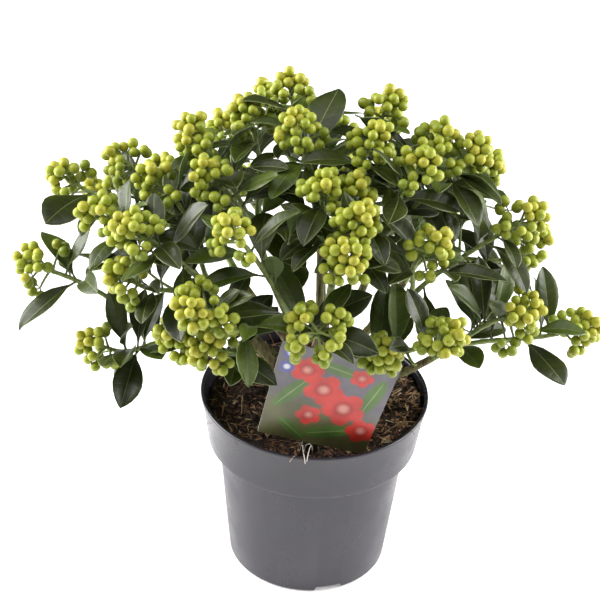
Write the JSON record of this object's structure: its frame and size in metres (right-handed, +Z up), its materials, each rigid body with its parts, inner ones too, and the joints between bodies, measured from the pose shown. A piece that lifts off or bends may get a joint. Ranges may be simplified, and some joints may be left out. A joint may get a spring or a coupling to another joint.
{
  "type": "potted skimmia",
  "caption": "Evergreen skimmia shrub in green fruit, in a tapered nursery pot with a plant label; whorls of pointed leaves under rounded heads of berries.",
  "frame": {"origin": "centre of the pot's flat underside", "axes": "+Z up along the pot's axis; -Y is the plant's front, where the label stands; +X is to the right as seen from the front"},
  "size_m": [0.4532, 0.3354, 0.4161],
  "materials": {
    "pot_plastic": "satin moulded grey plastic",
    "peat": "rough moist peat with bark and fibre",
    "label_card": "glossy printed plastic card",
    "bark": "fine ridged greenish brown bark",
    "foliage": "glossy dark green leaves with yellow-green fruit"
  },
  "bodies": {
    "root": {"pot": "pot_plastic", "soil": "peat", "plant_label": "label_card", "stool": "bark", "bough_west": "bark", "bough_west_low": "bark", "bough_southwest": "bark", "bough_southwest_low": "bark", "bough_west_top": "bark", "bough_top": "bark", "bough_south": "bark", "bough_south_top": "bark", "bough_southeast_low": "bark", "bough_east_low": "bark", "bough_east": "bark", "bough_east_top": "bark", "bough_northeast": "bark", "bough_north": "bark", "bough_northwest": "bark", "bough_north_low": "bark", "foliage_west": "foliage", "foliage_west_low": "foliage", "foliage_southwest": "foliage", "foliage_southwest_low": "foliage", "foliage_west_top": "foliage", "foliage_top": "foliage", "foliage_south": "foliage", "foliage_south_top": "foliage", "foliage_southeast_low": "foliage", "foliage_east_low": "foliage", "foliage_east": "foliage", "foliage_east_top": "foliage", "foliage_northeast": "foliage", "foliage_north": "foliage", "foliage_northwest": "foliage", "foliage_north_low": "foliage"}
  },
  "joints": []
}
